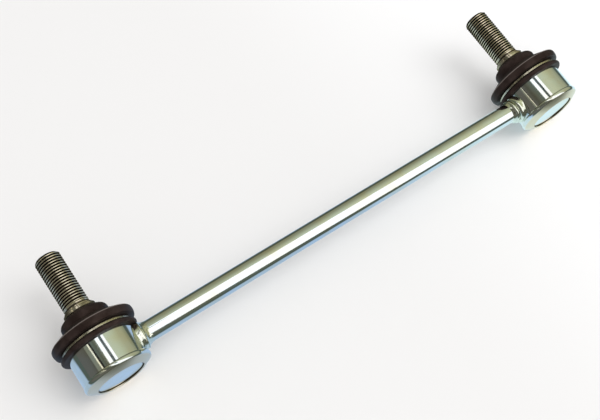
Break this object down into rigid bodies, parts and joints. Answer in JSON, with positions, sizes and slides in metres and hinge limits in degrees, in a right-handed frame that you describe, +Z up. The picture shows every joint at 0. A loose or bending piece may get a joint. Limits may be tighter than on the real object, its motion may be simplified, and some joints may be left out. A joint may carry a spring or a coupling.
{
  "type": "stabilizer link",
  "caption": "Straight steel stabilizer link with a sealed, rubber-booted ball joint at each end, whose threaded studs bolt to a suspension strut and an anti-roll bar.",
  "frame": {"origin": "middle of the link's footprint on the bench it lies on", "axes": "+X along the rod, +Y the way the studs point as seen from above, +Z up from the bench"},
  "size_m": [0.2804, 0.0644, 0.038],
  "materials": {
    "zinc_plate": "bright zinc plating on drawn and turned steel",
    "phosphated_steel": "oiled dark phosphate with bright rubbed crests",
    "boot_rubber": "moulded satin black rubber",
    "acetal": "moulded natural acetal, greased",
    "ring_steel": "bright drawn spring steel"
  },
  "bodies": {
    "link": {"rod": "zinc_plate", "left_weld": "zinc_plate", "left_housing": "zinc_plate", "left_end_cap": "zinc_plate", "left_preload_spring": "ring_steel", "left_boot": "boot_rubber", "left_boot_ring": "ring_steel", "right_weld": "zinc_plate", "right_housing": "zinc_plate", "right_end_cap": "zinc_plate", "right_preload_spring": "ring_steel", "right_boot": "boot_rubber", "right_boot_ring": "ring_steel"},
    "left_seats": {"left_lower_seat": "acetal", "left_upper_seat": "acetal"},
    "left_boot_neck": {"left_neck_ring": "ring_steel"},
    "left_stud": {"left_ball_stud": "phosphated_steel"},
    "right_seats": {"right_lower_seat": "acetal", "right_upper_seat": "acetal"},
    "right_boot_neck": {"right_neck_ring": "ring_steel"},
    "right_stud": {"right_ball_stud": "phosphated_steel"}
  },
  "joints": [
    {"name": "left_swing_direction", "type": "hinge", "parent": "link", "child": "left_seats", "pos_m": [-0.121, -0.01909, 0.01688], "axis": [0, 0.9843, 0.1767], "continuous": true},
    {"name": "left_swing", "type": "hinge", "parent": "left_seats", "child": "left_boot_neck", "pos_m": [-0.121, -0.01909, 0.01688], "axis": [0, -0.1767, 0.9843], "range_deg": [-20, 20], "deforming": ["left_boot"]},
    {"name": "left_stud_spin", "type": "hinge", "parent": "left_boot_neck", "child": "left_stud", "pos_m": [-0.121, -0.01909, 0.01688], "axis": [0, 0.9843, 0.1767], "continuous": true},
    {"name": "right_swing_direction", "type": "hinge", "parent": "link", "child": "right_seats", "pos_m": [0.121, -0.01909, 0.01688], "axis": [0, 0.9843, 0.1767], "continuous": true},
    {"name": "right_swing", "type": "hinge", "parent": "right_seats", "child": "right_boot_neck", "pos_m": [0.121, -0.01909, 0.01688], "axis": [0, -0.1767, 0.9843], "range_deg": [-20, 20], "deforming": ["right_boot"]},
    {"name": "right_stud_spin", "type": "hinge", "parent": "right_boot_neck", "child": "right_stud", "pos_m": [0.121, -0.01909, 0.01688], "axis": [0, 0.9843, 0.1767], "continuous": true}
  ]
}
